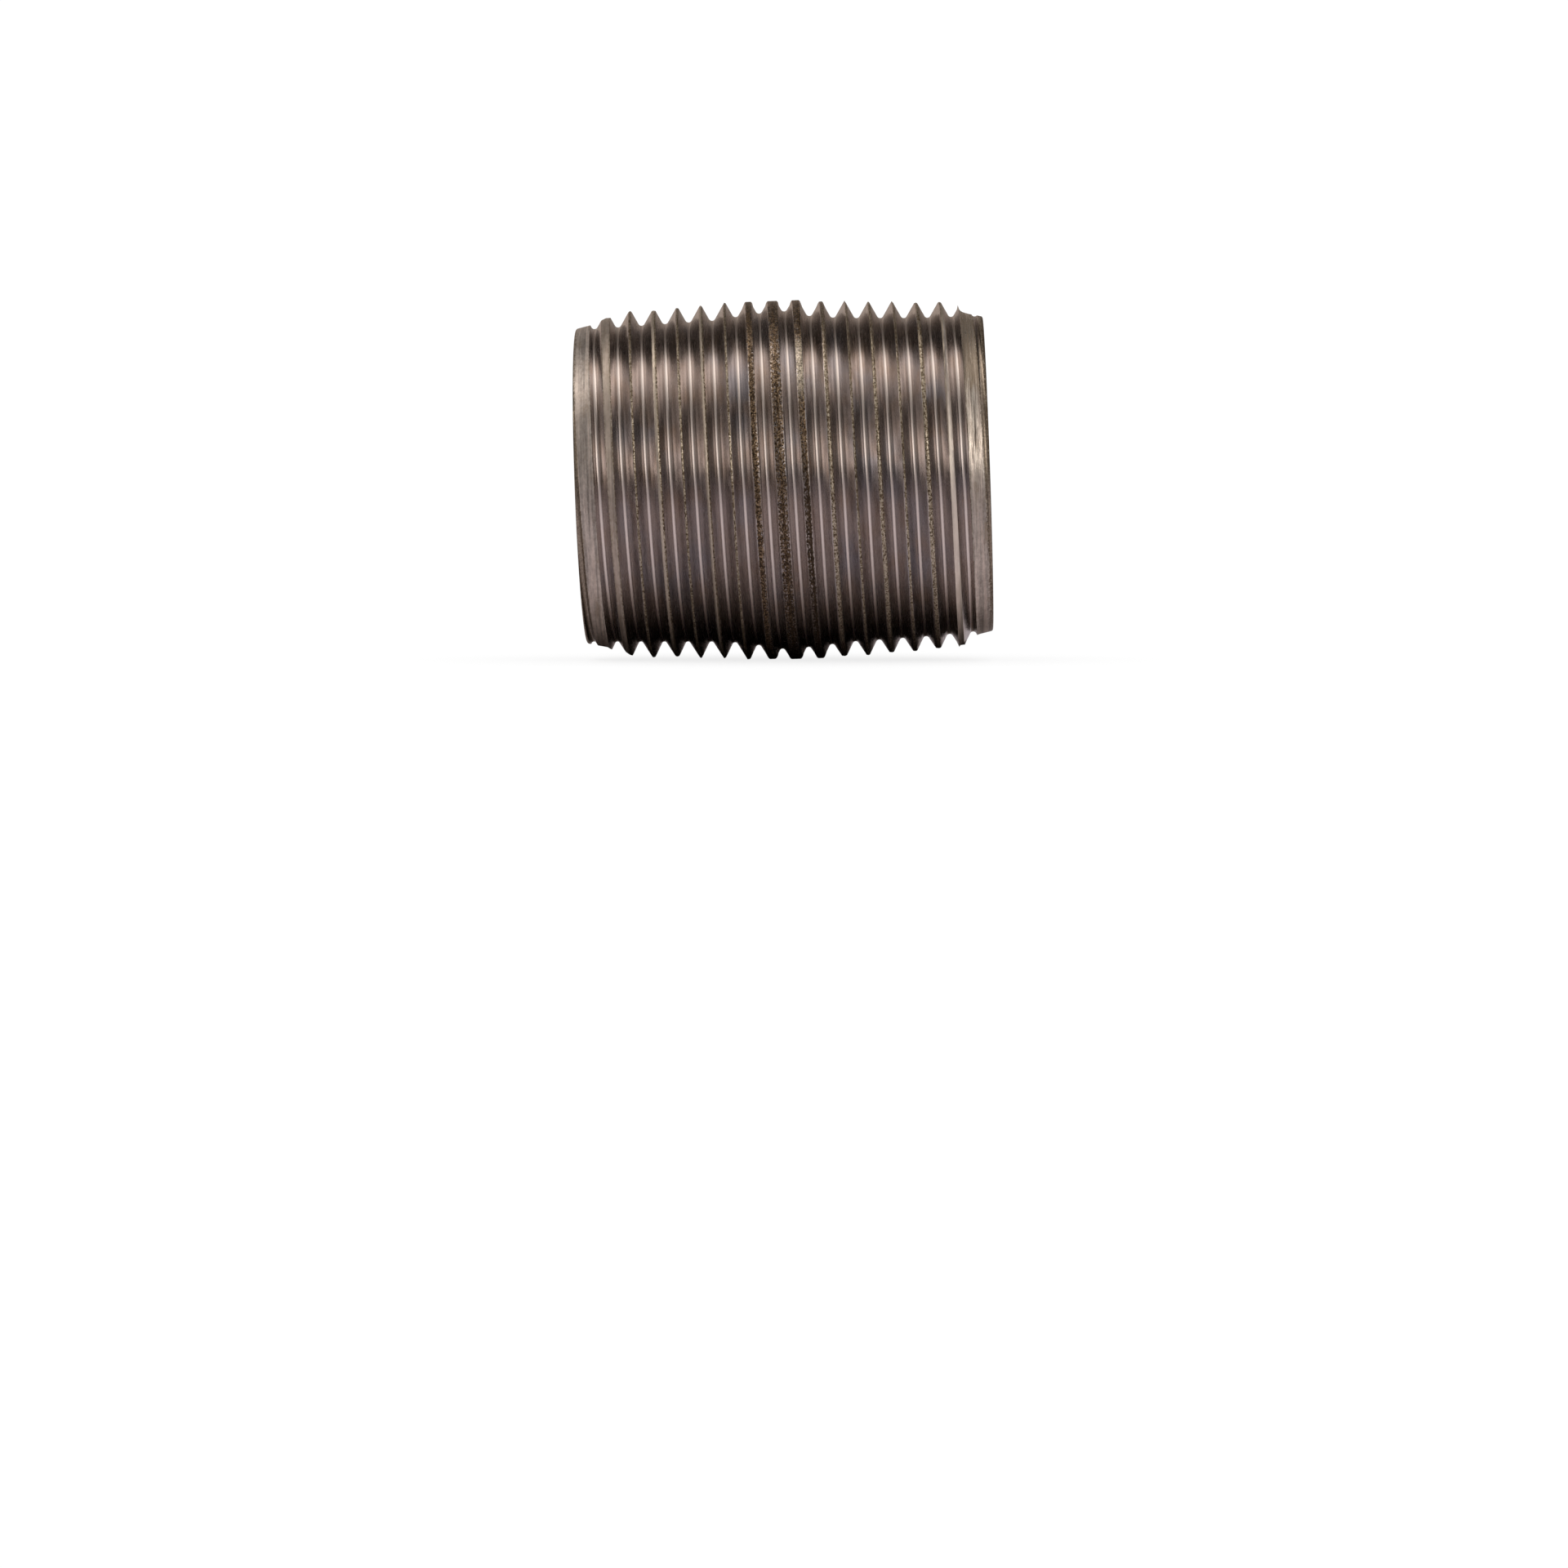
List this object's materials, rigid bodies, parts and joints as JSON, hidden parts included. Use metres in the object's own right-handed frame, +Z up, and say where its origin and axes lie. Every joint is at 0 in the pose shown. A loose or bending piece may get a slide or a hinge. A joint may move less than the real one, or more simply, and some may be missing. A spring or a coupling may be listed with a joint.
{
  "type": "threaded pipe nipple",
  "caption": "Close pipe nipple: a short steel tube with a right-hand tapered male pipe thread from each end to the middle.",
  "frame": {"origin": "on the axis of the bore, half way between the two end faces", "axes": "+X along the bore's axis, +Z up with the nipple lying on its side; the thread is right-handed, and its groove crosses the top 0.34 mm to the +X side of the middle in the left half and 0.63 mm in the right half"},
  "size_m": [0.0382, 0.0338, 0.0338],
  "materials": {
    "dark_steel": "satin"
  },
  "bodies": {
    "root": {"nipple_body": "dark_steel"}
  },
  "joints": []
}
